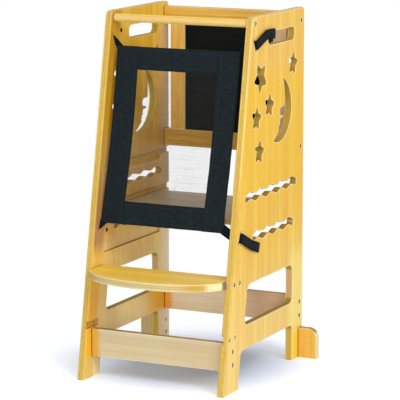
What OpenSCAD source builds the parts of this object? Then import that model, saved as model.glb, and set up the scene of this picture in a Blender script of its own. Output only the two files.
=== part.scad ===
// Bamboo learning tower for a toddler: two sloping side panels, cross rails, a curved step,
// a lift-out standing platform at three possible heights, a chalkboard back and a safety net.
// Sizes are millimetres. X runs across the tower, +X is the right side seen from the step side.
// Y runs from the step side (-Y) to the back (+Y). Z is up from the floor.

/* [Tower] */
// height of the side panels
height = 900; // [600:10:1200]
// width over the two side panels
width = 400; // [300:5:600]
// depth of a side panel on the floor
bottom_depth = 477; // [350:1:650]
// depth of a side panel at its top
top_depth = 312; // [200:1:450]
// thickness of a side panel
panel_thickness = 18; // [12:0.5:30]

/* [Side panel outline] */
// radius of the top corner at the hand rail
front_corner = 17; // [5:1:60]
// radius of the top corner at the back
rear_corner = 10; // [3:1:60]
// width of the small chamfer along the outer edges
edge_chamfer = 2; // [0.5:0.1:5]
// depth of the front leg
front_leg = 82; // [50:1:140]
// depth of the rear leg
rear_leg = 66; // [50:1:140]
// height of the gap between the legs
leg_gap_height = 93; // [40:1:200]
// radius of the gap's corner at the front leg
leg_gap_front_radius = 18; // [5:1:45]
// radius of the gap's corner at the rear leg
leg_gap_rear_radius = 14; // [5:1:60]

/* [Side panel openings] */
// distance from the sloping edge to the large window
window_front_margin = 91; // [60:1:150]
// distance from the back edge to the large window
window_rear_margin = 66; // [40:1:150]
// height of the window's lower edge above the floor
window_bottom = 152; // [120:1:250]
// height of the window's upper edge above the floor
window_top = 251; // [200:1:400]
// radius of the window's lower front corner
window_low_front_radius = 15; // [5:1:45]
// radius of the window's upper front corner
window_high_front_radius = 25; // [5:1:45]
// radius of the window's lower rear corner
window_low_rear_radius = 18; // [5:1:45]
// radius of the window's upper rear corner
window_high_rear_radius = 20; // [5:1:45]
// length of the hand slot
handle_length = 160; // [90:1:200]
// height of the hand slot
handle_height = 33; // [25:1:50]
// distance from the back edge to the hand slot
handle_rear_margin = 62; // [40:1:120]
// distance from the panel's top to the hand slot
handle_top_margin = 43.5; // [30:0.5:80]
// width of a wavy slot
wave_width = 18.5; // [10:0.5:30]
// length of one wave
wave_pitch = 62; // [30:1:100]
// height of a wave above its middle line
wave_rise = 3.8; // [0:0.1:8]
// radius of the small stars from centre to tip
small_star = 29; // [10:1:45]
// radius of the large star from centre to tip
large_star = 38; // [10:1:60]
// radius of the rounding at a star's tips
star_tip_radius = 4.5; // [1:0.5:6]
// reach of the corners between a star's arms, as a share of its unrounded tips' reach
star_notch = 0.52; // [0.4:0.01:0.6]
// radius of the moon's outer curve
moon_radius = 81; // [30:1:120]

/* [Standing platform] */
// thickness of the standing platform
platform_thickness = 15; // [12:0.5:25]
// distance from the back edge to the platform at rest
platform_rear_margin = 56; // [40:1:90]
// space left in the grooves in front of the platform
platform_front_play = 15; // [4:1:40]
// distance from the sloping edge to the front end of the highest groove
groove_front_margin = 14.5; // [8:0.5:40]
// radius of the grooves' front ends
groove_corner = 7; // [2:0.5:10]
// height of the lowest seat above the floor
lowest_seat = 302; // [250:1:400]
// height from one seat to the next
seat_spacing = 95.5; // [60:0.5:140]
// seat that the platform rests in, counted from the lowest
platform_seat = 1; // [0:1:2]
// depth of the platform grooves in the side panels
groove_depth = 7; // [4:0.5:9]
// height that the platform is lifted before it can leave towards the back
lift_height = 12.5; // [6:0.5:25]

/* [Step] */
// thickness of the step
step_thickness = 18; // [12:0.5:30]
// height of the step's top above the floor
step_level = 273.5; // [150:0.5:350]
// height of the step's top in the other housing
low_step_level = 143; // [100:0.5:200]
// depth of the step at the side panels
step_end_depth = 57; // [40:1:100]
// distance that the curved edge stands out at the middle
step_bulge = 95; // [20:1:140]
// depth of the step's housings in the side panels
housing_depth = 6; // [3:0.5:9]

/* [Rails] */
// thickness of the rails
rail_thickness = 18; // [12:0.5:30]
// height of the two rails of the chalkboard frame
board_rail_height = 44; // [30:1:80]
// height of the two lower rails
low_rail_height = 70; // [40:1:120]
// distance from the panels' back edge to the back rails
back_rail_inset = 12; // [0:1:40]
// distance from the panels' top to the top rail's upper edge
top_rail_margin = 11; // [2:1:30]
// height of the middle rail's upper edge above the floor
middle_rail_level = 571; // [500:1:650]
// height of the lower back rail's upper edge above the floor
low_back_level = 162; // [100:1:250]
// height of the lower front rail's upper edge above the floor
low_front_level = 123; // [90:1:200]
// distance from the sloping edge to the upper edge of the lower front rail
low_front_margin = 20.5; // [14:0.5:40]
// width of the upright stiles beside the chalkboard
stile_width = 40; // [20:1:60]
// gap between a stile and its side panel
stile_gap = 20; // [0:1:60]
// thickness of the chalkboard
board_thickness = 6; // [3:0.5:10]
// depth of the groove that holds the chalkboard
board_groove = 5; // [3:0.5:10]
// diameter of the round hand rail
hand_rail_diameter = 20; // [15:1:35]
// distance from the sloping edge to the hand rail's middle
hand_rail_margin = 16; // [12:0.5:40]
// distance from the panels' top to the hand rail's middle
hand_rail_drop = 17; // [12:0.5:40]

/* [Anti-tip feet] */
// distance that a foot stands out beside its panel
foot_reach = 52; // [30:1:100]
// height of a foot
foot_height = 78; // [70:1:120]
// radius of a foot's outer corner
foot_corner = 24; // [10:1:50]
// distance from the back edge to the feet
foot_inset = 11; // [6:1:40]
// height of a foot's lower screw above the floor
foot_screw_margin = 27; // [15:1:35]
// distance between a foot's two screws
foot_screw_spacing = 33; // [14:1:38]

/* [Safety net] */
// gap between the left panel and the net's upper edge
net_left_gap = 11; // [10:1:40]
// gap between the right panel and the net's upper edge
net_right_gap = 18; // [10:1:40]
// distance that the net's lower edge slips to the left
net_slip = 9; // [0:0.5:9]
// distance that the net is narrower at its lower edge
net_taper = 4; // [0:0.5:20]
// distance from the panels' top to the net's upper edge
net_top_margin = 88; // [60:1:150]
// height of the net's lower edge above the floor
net_bottom = 384; // [350:1:450]
// distance from the sloping edge to the net
net_inset = 24; // [10:1:50]
// width of the cloth border
border_width = 54; // [30:1:80]
// thickness of the cloth border
border_thickness = 2.4; // [1:0.1:4]
// thickness of the see-through mesh
mesh_thickness = 0.8; // [0.5:0.1:2]
// width that the border covers of the mesh
mesh_seam = 8; // [4:1:15]
// width of the webbing straps
strap_width = 25; // [15:1:40]
// thickness of the webbing straps
strap_thickness = 1.8; // [1:0.1:3]
// angle of the straps outside the panels
strap_angle = 25; // [0:1:45]
// height of a top strap slot's middle above the net's upper edge
top_slot_rise = 19; // [5:1:40]
// depth of a bottom strap slot's middle below the net's lower edge
bottom_slot_drop = 10; // [0:1:30]
// length of a strap slot
slot_length = 38; // [28:1:60]
// width of a strap slot
slot_width = 7; // [4:0.5:12]
// distance from a strap slot to the small hole beside it
button_distance = 40; // [20:1:60]
// diameter of the small hole beside each strap slot
button_hole = 9; // [4:0.5:14]

/* [Fasteners] */
// diameter of a screw's shank
screw_diameter = 6; // [4:0.5:8]
// length of a screw under its head
screw_length = 48; // [30:1:70]
// diameter of a screw's head
head_diameter = 10.5; // [7:0.5:14]
// thickness of a screw's head
head_thickness = 4; // [2:0.5:7]
// size of the hexagon in a screw's head, corner to corner
hexagon = 4.6; // [3:0.1:6]
// diameter of the wooden pins in the chalkboard frame
pin_diameter = 8; // [5:0.5:10]
// length of the wooden pins
pin_length = 30; // [20:1:50]

/* [Hidden] */
$fn = 64;
running_gap = 0.25; // around the platform in its grooves
fit_gap = 0.05; // around a screw or a pin in its bore
strap_gap = 0.3; // between a strap and the panel it lies on
through = 1; // distance that a cutter stands proud

half_width = width / 2;
inner = half_width - panel_thickness;
lean = (bottom_depth - top_depth) / height;
lean_angle = atan(lean);
// distance from the back edge to the sloping edge at a height
function front_at(z) = bottom_depth - lean * z;

handle_rounding = 0.4; // corner radius of the hand slot, as a share of its height
handle_level = height - handle_top_margin - handle_height / 2;
handle_front = handle_rear_margin + handle_length;
top_rail_level = height - top_rail_margin;
hand_rail_level = height - hand_rail_drop;
hand_rail_reach = front_at(hand_rail_level) - hand_rail_margin;
low_front_reach = front_at(low_front_level) - low_front_margin;
net_top = height - net_top_margin;

step_middle = step_level - step_thickness / 2;
low_step_middle = low_step_level - step_thickness / 2;
step_front = front_at(step_level) + step_bulge;
back = step_front / 2; // Y of the panels' back edge, so that the tower is centred on Y

// [distance from the back edge, distance below the top, radius, degrees turned to the front]
stars = [
    [266, 152, large_star, 172],
    [70, 136, small_star, -10],
    [213, 225, small_star, -10],
    [289, 249, small_star, -10],
    [272, 333, small_star, -10]
];
// [distance from the back edge, distance below the top]
moon_place = [158, 242];
// drawn for a moon of 80 mm: [distance, height, radius] of the hollow, the nose and two lips
moon_share = moon_radius / 80;
moon_hollow = moon_share * [73, 28, 110];
moon_nose = moon_share * [-18, -6, 11];
moon_lips = moon_share * [[-18, -31, 10], [-12, -46, 11]];
// [distance of the middle from the back edge, seat below it, height over that seat, crests]
waves = [[199, 1, 67.5, 5], [186.5, 0, 62, 4]];
// place of a strap slot, in line with the net: [distance from the back edge, height,
// 1 where the strap rises outside or -1 where it falls]
function slot_place(z, way) = [front_at(z) - net_inset, z, way];
slot_rounding = 0.45; // corner radius of a strap slot, as a share of its width
top_slot = slot_place(net_top + top_slot_rise, 1);
bottom_slot = slot_place(net_bottom - bottom_slot_drop, -1);

groove_height = lift_height + platform_thickness + 2 * running_gap;
groove_front = front_at(lowest_seat + 2 * seat_spacing + groove_height) - groove_front_margin;
seat_play = 2; // behind the platform in its seat
seat_rear = platform_rear_margin - seat_play;
platform_bottom = lowest_seat + platform_seat * seat_spacing + running_gap;
platform_depth = groove_front - platform_front_play - platform_rear_margin;

back_rail_middle = back_rail_inset + rail_thickness / 2;
front_rail_middle = low_front_reach - rail_thickness / 2;
foot_middle = foot_inset + rail_thickness / 2;
stile_outer = inner - stile_gap;
stile_inner = stile_outer - stile_width;
stile_foot = middle_rail_level;
stile_head = top_rail_level - board_rail_height;

// places of the fasteners: [distance from the back edge, height]
screw_sink = 2.5; // depth of a head below the panel's face
hexagon_depth = 0.6; // as a share of the head's thickness
back_rail_spread = 18; // from the middle of the low back rail to its screws
front_rail_spread = 16.5;
front_rail_drop = 2.5; // the low front rail's screws sit below its middle by this much
step_screw_margins = [12, step_end_depth - 14];
hand_rail_places = [[hand_rail_reach, hand_rail_level]];
board_frame_places = [for (level = [top_rail_level, middle_rail_level])
    [back_rail_middle, level - board_rail_height / 2]];
bottom_back_places = [for (s = [-1, 1])
    [back_rail_middle, low_back_level - low_rail_height / 2 + s * back_rail_spread]];
bottom_front_places = [for (s = [-1, 1])
    [front_rail_middle,
     low_front_level - low_rail_height / 2 - front_rail_drop + s * front_rail_spread]];
foot_places = [for (i = [0, 1]) [foot_middle, foot_screw_margin + i * foot_screw_spacing]];
function step_places(middle) = [for (m = step_screw_margins) [front_at(middle) - m, middle]];
pin_spread = 10; // from a stile's middle to its pins
// [distance sideways from the middle, height] of the pins in the chalkboard frame
pin_places = [for (m = [-pin_spread, pin_spread], z = [stile_foot, stile_head])
    [stile_inner + stile_width / 2 + m, z]];

bamboo = [0.91, 0.73, 0.42];
pale_bamboo = [0.93, 0.80, 0.58];
cloth = [0.13, 0.16, 0.18];
webbing = [0.10, 0.12, 0.14];
blackboard = [0.10, 0.10, 0.11];
steel = [0.25, 0.22, 0.20];
beech = [0.85, 0.70, 0.50];

// part to draw: all, or the name of one node

// from a tower with its back edge at Y = 0 to the tower's own place
module placed() {
    translate([0, back, 0]) children();
}

module mirrored() {
    mirror([1, 0, 0]) children();
}

module on_both_sides() {
    children();
    mirrored() children();
}

// stands a drawing of (distance from the back edge, height) up as a plate that starts at an X
module upright(from_x, thickness) {
    translate([from_x, 0, 0])
        mirror([0, 1, 0]) rotate([90, 0, 90])
            linear_extrude(thickness) children();
}

// stands a drawing of (X, height) up as a plate that starts at a distance from the back edge
module crosswise(reach, thickness) {
    translate([0, -reach, 0]) rotate([90, 0, 0]) linear_extrude(thickness) children();
}

// board between the side panels, given by its upper edge and its distance from the back edge
module rail(reach, level, tall) {
    translate([-inner, -reach - rail_thickness, level - tall])
        cube([2 * inner, rail_thickness, tall]);
}

// points of the rounding between two straight edges that meet at a corner
function corner_points(before, corner, after, radius, steps = 8) =
    let (
        a = (before - corner) / norm(before - corner),
        b = (after - corner) / norm(after - corner),
        half = acos(a * b) / 2,
        middle = corner + (a + b) / norm(a + b) * radius / sin(half),
        first = corner + a * radius / tan(half) - middle,
        last = corner + b * radius / tan(half) - middle,
        start = atan2(first[1], first[0]),
        turn = atan2(last[1], last[0]) - start,
        sweep = turn > 180 ? turn - 360 : turn < -180 ? turn + 360 : turn
    )
    [for (i = [0:steps])
        let (angle = start + sweep * i / steps) middle + radius * [cos(angle), sin(angle)]];

// outline with each corner rounded by its own radius, or left sharp where that is 0
function rounded_outline(corners, radii) =
    let (n = len(corners))
    [for (i = [0:n - 1])
        each radii[i] == 0 ? [corners[i]]
            : corner_points(corners[(i + n - 1) % n], corners[i], corners[(i + 1) % n], radii[i])];

function rectangle(length, tall) =
    [[-length / 2, -tall / 2], [length / 2, -tall / 2], [length / 2, tall / 2],
     [-length / 2, tall / 2]];

module rounded_slot(length, tall, radius) {
    polygon(rounded_outline(rectangle(length, tall), [radius, radius, radius, radius]));
}

// flat band of a width along a line of points
module band(points, wide) {
    n = len(points);
    function along(i) = (points[i + 1] - points[i]) / norm(points[i + 1] - points[i]);
    function side(i) = let (a = along(i)) [-a[1], a[0]];
    function offset_at(i) =
        i == 0 ? side(0) : i == n - 1 ? side(n - 2)
        : (side(i - 1) + side(i)) / (1 + side(i - 1) * side(i));
    polygon(concat(
        [for (i = [0:n - 1]) points[i] + offset_at(i) * wide / 2],
        [for (i = [n - 1:-1:0]) points[i] - offset_at(i) * wide / 2]));
}

// outer outline of a side panel, drawn in by a margin at the front, the top and the back
function outer_outline(margin) =
    let (
        foot = [bottom_depth - margin / cos(lean_angle), 0],
        crown = height - margin
    )
    rounded_outline(
        [[margin, 0], foot, [foot[0] - lean * crown, crown], [margin, crown]],
        [0, 0, front_corner - margin, rear_corner - margin]);

// right panel without its openings, chamfered along its outer edges
module panel_block() {
    hull() {
        upright(inner, panel_thickness) polygon(outer_outline(edge_chamfer));
        upright(inner + edge_chamfer, panel_thickness - 2 * edge_chamfer)
            polygon(outer_outline(0));
    }
}

module leg_gap() {
    leg_inside = bottom_depth - front_leg;
    polygon(rounded_outline(
        [[rear_leg, -through], [leg_inside + lean * through, -through],
         [leg_inside - lean * leg_gap_height, leg_gap_height], [rear_leg, leg_gap_height]],
        [0, 0, leg_gap_front_radius, leg_gap_rear_radius]));
}

module window() {
    polygon(rounded_outline(
        [[front_at(window_bottom) - window_front_margin, window_bottom],
         [front_at(window_top) - window_front_margin, window_top],
         [window_rear_margin, window_top],
         [window_rear_margin, window_bottom]],
        [window_low_front_radius, window_high_front_radius,
         window_high_rear_radius, window_low_rear_radius]));
}

// star with five straight-sided arms whose tips are rounded
module star(radius) {
    half_tip = atan2(star_notch * sin(36), 1 - star_notch * cos(36));
    tip = radius + star_tip_radius * (1 / sin(half_tip) - 1);
    polygon(rounded_outline(
        [for (i = [0:9])
            let (reach = i % 2 == 0 ? tip : star_notch * tip)
            reach * [sin(36 * i), cos(36 * i)]],
        [for (i = [0:9]) i % 2 == 0 ? star_tip_radius : 0]));
}

// crescent with a face in profile that looks to the front
module moon() {
    difference() {
        circle(moon_radius);
        translate([moon_hollow[0], moon_hollow[1]]) circle(moon_hollow[2]);
    }
    for (bump = concat([moon_nose], moon_lips))
        translate([bump[0], bump[1]]) circle(bump[2]);
    // joins the nose to the crescent
    translate([2 * moon_nose[0], moon_nose[1] - moon_nose[2]])
        square([-moon_nose[0], 2 * moon_nose[2]]);
}

// slot that runs in waves, with round ends
module wave_slot(crests) {
    reach = (crests * wave_pitch - wave_width) / 2;
    phase = crests % 2 == 1 ? 0 : 180;
    steps = crests * 12;
    function level(s) = wave_rise * cos(360 * s / wave_pitch + phase);
    stations = [for (i = [0:steps]) -reach + 2 * reach * i / steps];
    polygon(concat(
        [for (s = stations) [s, level(s) + wave_width / 2]],
        [for (i = [steps:-1:0]) [stations[i], level(stations[i]) - wave_width / 2]]));
    for (end = [-reach, reach])
        translate([end, level(end)]) circle(d = wave_width);
}

// slot for a strap, and the small hole beside it
module strap_opening(place) {
    translate([place[0], place[1]]) {
        rotate(-place[2] * strap_angle)
            rounded_slot(slot_width, slot_length, slot_width * slot_rounding);
        translate(button_distance * [-cos(strap_angle), place[2] * sin(strap_angle)])
            circle(d = button_hole);
    }
}

// everything that is cut right through a side panel, other than the screws' bores
module panel_openings() {
    leg_gap();
    window();
    translate([handle_rear_margin + handle_length / 2, handle_level])
        rounded_slot(handle_length, handle_height, handle_height * handle_rounding);
    for (s = stars)
        translate([s[0], height - s[1]]) rotate(-s[3]) star(s[2]);
    translate([moon_place[0], height - moon_place[1]]) moon();
    for (w = waves)
        translate([w[0], lowest_seat + w[1] * seat_spacing + w[2]]) wave_slot(w[3]);
    strap_opening(top_slot);
    strap_opening(bottom_slot);
}

// groove for the platform: a seat, and over the seat's end the way out to the back edge
module platform_groove() {
    straight = groove_front - groove_corner - seat_rear;
    translate([seat_rear, 0]) square([straight, groove_height]);
    translate([seat_rear, groove_corner])
        square([straight + groove_corner, groove_height - 2 * groove_corner]);
    for (z = [groove_corner, groove_height - groove_corner])
        translate([seat_rear + straight, z]) circle(groove_corner);
    translate([-through, lift_height])
        square([seat_rear + 2 * through, groove_height - lift_height]);
}

// housing for the end of the step, open at the sloping edge
module step_housing(middle) {
    translate([front_at(middle) - step_end_depth - fit_gap, middle - step_thickness / 2 - fit_gap])
        square([step_end_depth + 3 * panel_thickness, step_thickness + 2 * fit_gap]);
}

// lays a screw or its bore in from the right panel's outer face, at each place
module from_outside(places) {
    for (p = places)
        translate([half_width - screw_sink, -p[0], p[1]]) rotate([0, -90, 0]) children();
}

// the same from the right panel's inner face outwards
module from_inside(places) {
    for (p = places)
        translate([inner + screw_sink, -p[0], p[1]]) rotate([0, 90, 0]) children();
}

// bore with a seat for the head; it points along +Z from the head
module bore() {
    translate([0, 0, -screw_sink - through])
        cylinder(d = head_diameter + 2 * fit_gap, h = head_thickness + screw_sink + through);
    cylinder(d = screw_diameter + 2 * fit_gap, h = head_thickness + screw_length + fit_gap);
}

module screw() {
    difference() {
        union() {
            cylinder(d = head_diameter, h = head_thickness);
            cylinder(d = screw_diameter, h = head_thickness + screw_length);
        }
        translate([0, 0, -through])
            cylinder(d = hexagon, h = head_thickness * hexagon_depth + through, $fn = 6);
    }
}

module right_panel() {
    difference() {
        panel_block();
        upright(inner - through, panel_thickness + 2 * through) panel_openings();
        upright(inner - through, groove_depth + through)
            for (i = [0:2]) translate([0, lowest_seat + i * seat_spacing]) platform_groove();
        upright(inner - through, housing_depth + through) {
            step_housing(step_middle);
            step_housing(low_step_middle);
        }
        from_outside(hand_rail_places) bore();
        from_outside(board_frame_places) bore();
        from_outside(bottom_back_places) bore();
        from_outside(bottom_front_places) bore();
        from_outside(step_places(step_middle)) bore();
        from_outside(step_places(low_step_middle)) bore();
        from_inside(foot_places) bore();
    }
}

module side_panel_right() {
    color(bamboo) placed() right_panel();
}

module side_panel_left() {
    color(bamboo) placed() mirrored() right_panel();
}

module hand_rail() {
    color(bamboo) placed() difference() {
        translate([-inner, -hand_rail_reach, hand_rail_level])
            rotate([0, 90, 0]) cylinder(d = hand_rail_diameter, h = 2 * inner);
        on_both_sides() from_outside(hand_rail_places) bore();
    }
}

module chalkboard_block(gap) {
    reach = board_groove - (gap > 0 ? 0 : fit_gap);
    translate([-stile_inner - reach, -back_rail_middle - board_thickness / 2 - gap,
               stile_foot - reach])
        cube([2 * (stile_inner + reach), board_thickness + 2 * gap,
              stile_head - stile_foot + 2 * reach]);
}

module pins(gap) {
    on_both_sides() for (p = pin_places)
        translate([p[0], -back_rail_middle, p[1] - pin_length / 2 - gap])
            cylinder(d = pin_diameter + 2 * gap, h = pin_length + 2 * gap);
}

// one of the two rails that hold the chalkboard
module board_rail(level) {
    difference() {
        rail(back_rail_inset, level, board_rail_height);
        chalkboard_block(fit_gap);
        pins(fit_gap);
        on_both_sides() from_outside(board_frame_places) bore();
    }
}

module top_back_rail() {
    color(bamboo) placed() board_rail(top_rail_level);
}

module middle_back_rail() {
    color(bamboo) placed() board_rail(middle_rail_level);
}

module right_stile() {
    difference() {
        translate([stile_inner, -back_rail_inset - rail_thickness, stile_foot])
            cube([stile_width, rail_thickness, stile_head - stile_foot]);
        chalkboard_block(fit_gap);
        pins(fit_gap);
    }
}

module board_stile_right() {
    color(bamboo) placed() right_stile();
}

module board_stile_left() {
    color(bamboo) placed() mirrored() right_stile();
}

module chalkboard() {
    color(blackboard) placed() chalkboard_block(0);
}

module board_frame_pins() {
    color(beech) placed() pins(0);
}

module bottom_back_rail() {
    color(bamboo) placed() difference() {
        rail(back_rail_inset, low_back_level, low_rail_height);
        on_both_sides() from_outside(bottom_back_places) bore();
    }
}

module bottom_front_rail() {
    color(pale_bamboo) placed() difference() {
        rail(low_front_reach - rail_thickness, low_front_level, low_rail_height);
        on_both_sides() from_outside(bottom_front_places) bore();
    }
}

// seen from above: straight behind, with an end in each housing and a long curve in front
module step_outline() {
    end = inner + housing_depth - fit_gap;
    rear = front_at(step_middle) - step_end_depth;
    shoulder = front_at(step_level);
    steps = 48;
    polygon(concat(
        [[-end, -rear], [-end, -shoulder]],
        [for (i = [0:steps])
            let (angle = 180 + 180 * i / steps)
            [inner * cos(angle), -shoulder + step_bulge * sin(angle)]],
        [[end, -shoulder], [end, -rear]]));
}

module step_board() {
    color(bamboo) placed() difference() {
        translate([0, 0, step_level - step_thickness])
            linear_extrude(step_thickness) step_outline();
        on_both_sides() from_outside(step_places(step_middle)) bore();
    }
}

module standing_platform() {
    half = inner + groove_depth - 2 * running_gap;
    color(pale_bamboo) placed()
        translate([-half, -platform_rear_margin - platform_depth, platform_bottom])
            cube([2 * half, platform_depth, platform_thickness]);
}

module right_foot() {
    difference() {
        crosswise(foot_inset, rail_thickness)
            translate([half_width, 0])
                polygon(rounded_outline(
                    [[0, 0], [foot_reach, 0], [foot_reach, foot_height], [0, foot_height]],
                    [0, 0, foot_corner, 0]));
        from_inside(foot_places) bore();
    }
}

module anti_tip_foot_right() {
    color(bamboo) placed() right_foot();
}

module anti_tip_foot_left() {
    color(bamboo) placed() mirrored() right_foot();
}

// lays a drawing of (X, distance up the slope) in the plane of the net
module in_net_plane(from_depth, thickness) {
    translate([0, net_inset - bottom_depth, 0]) rotate([90 - lean_angle, 0, 0])
        translate([0, 0, from_depth]) linear_extrude(thickness) children();
}

function up_slope(z) = z / cos(lean_angle);

// corners of the net, drawn in by a margin
function net_corners(margin) =
    let (
        left = net_left_gap + margin - inner,
        right = inner - net_right_gap - margin,
        low = up_slope(net_bottom) + margin,
        high = up_slope(net_top) - margin
    )
    [[left - net_slip, low], [right - net_slip - net_taper, low], [right, high], [left, high]];

// the same, turned over where the side is -1 so that this side of the net lies at +X
function net_outline(margin, side) = [for (p = net_corners(margin)) [side * p[0], p[1]]];

net_rounding = 6; // radius of the border's outer corners

module net_border() {
    color(cloth) placed() in_net_plane(0, border_thickness) difference() {
        polygon(rounded_outline(net_corners(0), [for (i = [0:3]) net_rounding]));
        polygon(net_corners(border_width));
    }
}

module net_mesh() {
    color(cloth) placed() in_net_plane(-mesh_thickness, mesh_thickness)
        polygon(net_corners(border_width - mesh_seam));
}

strap_inset = 14; // from the net's edges to where a strap's middle line leaves the border
strap_seam = 20; // length that is sewn to the border
strap_turn = 0.94; // share of its width and thickness that a strap keeps where it turns

// length of a strap in the slot of the right panel, between two values of X
module strap_in_slot(place, from_x, to_x, share = 1) {
    upright(from_x, to_x - from_x)
        translate([place[0], place[1]]) rotate(-place[2] * strap_angle)
            square(share * [strap_thickness, strap_width], center = true);
}

// length of a strap behind the net, between two points of its middle line
module strap_behind_net(from_point, to_point, share = 1) {
    in_net_plane(-strap_thickness * (1 + share) / 2, strap_thickness * share)
        band([from_point, to_point], strap_width * share);
}

// strap at one corner of the net: sewn behind it, out through the slot of the right panel, then
// along that panel's outer face through the points of its tail
module strap(place, side, i, tail) {
    corner = net_outline(strap_inset, side)[i];
    run = [inner - corner[0], up_slope(place[1]) - corner[1]];
    way = run / norm(run);
    placed() {
        strap_behind_net(corner - strap_seam * way, corner + 2 * through * way);
        // the strap turns from the net's plane to the slot's, behind the border
        difference() {
            hull() {
                strap_behind_net(corner + through * way, corner + 1.5 * through * way,
                                 strap_turn);
                strap_in_slot(place, inner - through, inner - through / 2, strap_turn);
            }
            in_net_plane(-fit_gap, 3 * border_thickness)
                polygon(net_outline(-fit_gap, side));
        }
        strap_in_slot(place, inner - through, half_width + strap_gap + strap_thickness);
        upright(half_width + strap_gap, strap_thickness)
            band(concat([[place[0], place[1]]], tail), strap_width);
    }
}

// step towards the back edge that rises by an angle
function backwards(length, angle) = length * [-cos(angle), sin(angle)];

// a strap's tail outside the panel: the lengths of its two parts, and how the second one rises
top_tail_lengths = [62, 68];
top_tail_rises = [20, -1];
bottom_tail_lengths = [66, 48];
bottom_tail_rises = [-strap_angle, -17];
function strap_tail(place, lengths, rises) =
    let (bend = [place[0], place[1]] + backwards(lengths[0], rises[0]))
    [bend, bend + backwards(lengths[1], rises[1])];
top_tail = strap_tail(top_slot, top_tail_lengths, top_tail_rises);
bottom_tail = strap_tail(bottom_slot, bottom_tail_lengths, bottom_tail_rises);

// the top strap's end is folded into the hand slot and hangs down in it
tuck_width = 22;
tuck_front = handle_front - 7;
tuck_foot = handle_level - handle_height / 3;
tuck_head = top_tail[0][1] - strap_width / 4;

module top_strap(side, i) {
    color(webbing) {
        strap(top_slot, side, i, top_tail);
        placed() upright(half_width + strap_gap - strap_thickness, strap_thickness)
            translate([tuck_front - tuck_width, tuck_foot])
                square([tuck_width, tuck_head - tuck_foot]);
    }
}

module bottom_strap(side, i) {
    color(webbing) strap(bottom_slot, side, i, bottom_tail);
}

module strap_top_right() {
    top_strap(1, 2);
}

module strap_top_left() {
    mirrored() top_strap(-1, 3);
}

module strap_bottom_right() {
    bottom_strap(1, 1);
}

module strap_bottom_left() {
    mirrored() bottom_strap(-1, 0);
}

module hand_rail_screws() {
    color(steel) placed() on_both_sides() from_outside(hand_rail_places) screw();
}

module board_frame_screws() {
    color(steel) placed() on_both_sides() from_outside(board_frame_places) screw();
}

module bottom_back_screws() {
    color(steel) placed() on_both_sides() from_outside(bottom_back_places) screw();
}

module bottom_front_screws() {
    color(steel) placed() on_both_sides() from_outside(bottom_front_places) screw();
}

module step_screws() {
    color(steel) placed() on_both_sides() from_outside(step_places(step_middle)) screw();
}

module foot_screws() {
    color(steel) placed() on_both_sides() from_inside(foot_places) screw();
}

side_panel_left();
side_panel_right();
hand_rail();
top_back_rail();
middle_back_rail();
board_stile_left();
board_stile_right();
chalkboard();
board_frame_pins();
bottom_back_rail();
bottom_front_rail();
step_board();
standing_platform();
anti_tip_foot_left();
anti_tip_foot_right();
net_border();
net_mesh();
strap_top_left();
strap_top_right();
strap_bottom_left();
strap_bottom_right();
hand_rail_screws();
board_frame_screws();
bottom_back_screws();
bottom_front_screws();
step_screws();
foot_screws();
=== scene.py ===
# Learning tower of laminated bamboo with a strapped safety net: finishes, net, straps, camera
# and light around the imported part. Sizes are metres, in the part's own frame.
import math
import random

import bpy
import numpy as np
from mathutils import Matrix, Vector


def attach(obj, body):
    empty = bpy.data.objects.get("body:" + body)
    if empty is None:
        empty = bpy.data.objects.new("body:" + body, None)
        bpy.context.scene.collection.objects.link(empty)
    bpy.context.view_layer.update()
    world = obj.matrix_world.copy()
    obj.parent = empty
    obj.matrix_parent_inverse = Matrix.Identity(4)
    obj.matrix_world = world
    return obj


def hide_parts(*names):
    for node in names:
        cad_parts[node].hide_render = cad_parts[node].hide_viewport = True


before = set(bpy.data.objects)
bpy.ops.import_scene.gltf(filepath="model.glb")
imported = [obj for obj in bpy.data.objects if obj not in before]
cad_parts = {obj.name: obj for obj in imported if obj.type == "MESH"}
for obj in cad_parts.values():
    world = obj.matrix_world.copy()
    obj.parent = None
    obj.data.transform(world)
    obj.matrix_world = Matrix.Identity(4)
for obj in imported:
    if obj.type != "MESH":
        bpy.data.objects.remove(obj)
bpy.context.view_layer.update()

# sizes of the tower, as in the part's source
HEIGHT = 0.9
HALF_WIDTH = 0.2
PANEL = 0.018
BOARD = 0.018
INNER = HALF_WIDTH - PANEL
BOTTOM_DEPTH = 0.477
TOP_DEPTH = 0.312
LEAN = (BOTTOM_DEPTH - TOP_DEPTH) / HEIGHT
LEAN_ANGLE = math.atan(LEAN)
STEP_LEVEL = 0.2735
STEP_BULGE = 0.095
BACK = (BOTTOM_DEPTH - LEAN * STEP_LEVEL + STEP_BULGE) / 2
PLATFORM_UNDERSIDE = 0.39775
HAND_RAIL_DROP = 0.017
HAND_RAIL_SETBACK = 0.016
BACK_RAIL_INSET = 0.012
BOARD_RAIL_HEIGHT = 0.044
TOP_RAIL_LEVEL = 0.889
MIDDLE_RAIL_LEVEL = 0.571
LOW_RAIL_HEIGHT = 0.070
LOW_BACK_LEVEL = 0.162
LOW_FRONT_LEVEL = 0.123
LOW_FRONT_SETBACK = 0.0205
LOW_FRONT_REACH = BOTTOM_DEPTH - LEAN * LOW_FRONT_LEVEL - LOW_FRONT_SETBACK
FOOT_INSET = 0.011
EDGE_ROUNDING = 0.0014

# places of the screws, as in the part's source; RECESS_RADIUS lies just past a recess's wall
BACK_SCREW_SPREAD = 0.018
FRONT_SCREW_SPREAD = 0.0165
FRONT_SCREW_DROP = 0.0025
STEP_SCREW_MARGINS = (0.012, 0.043)
RECESS_RADIUS = 0.0053

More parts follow.
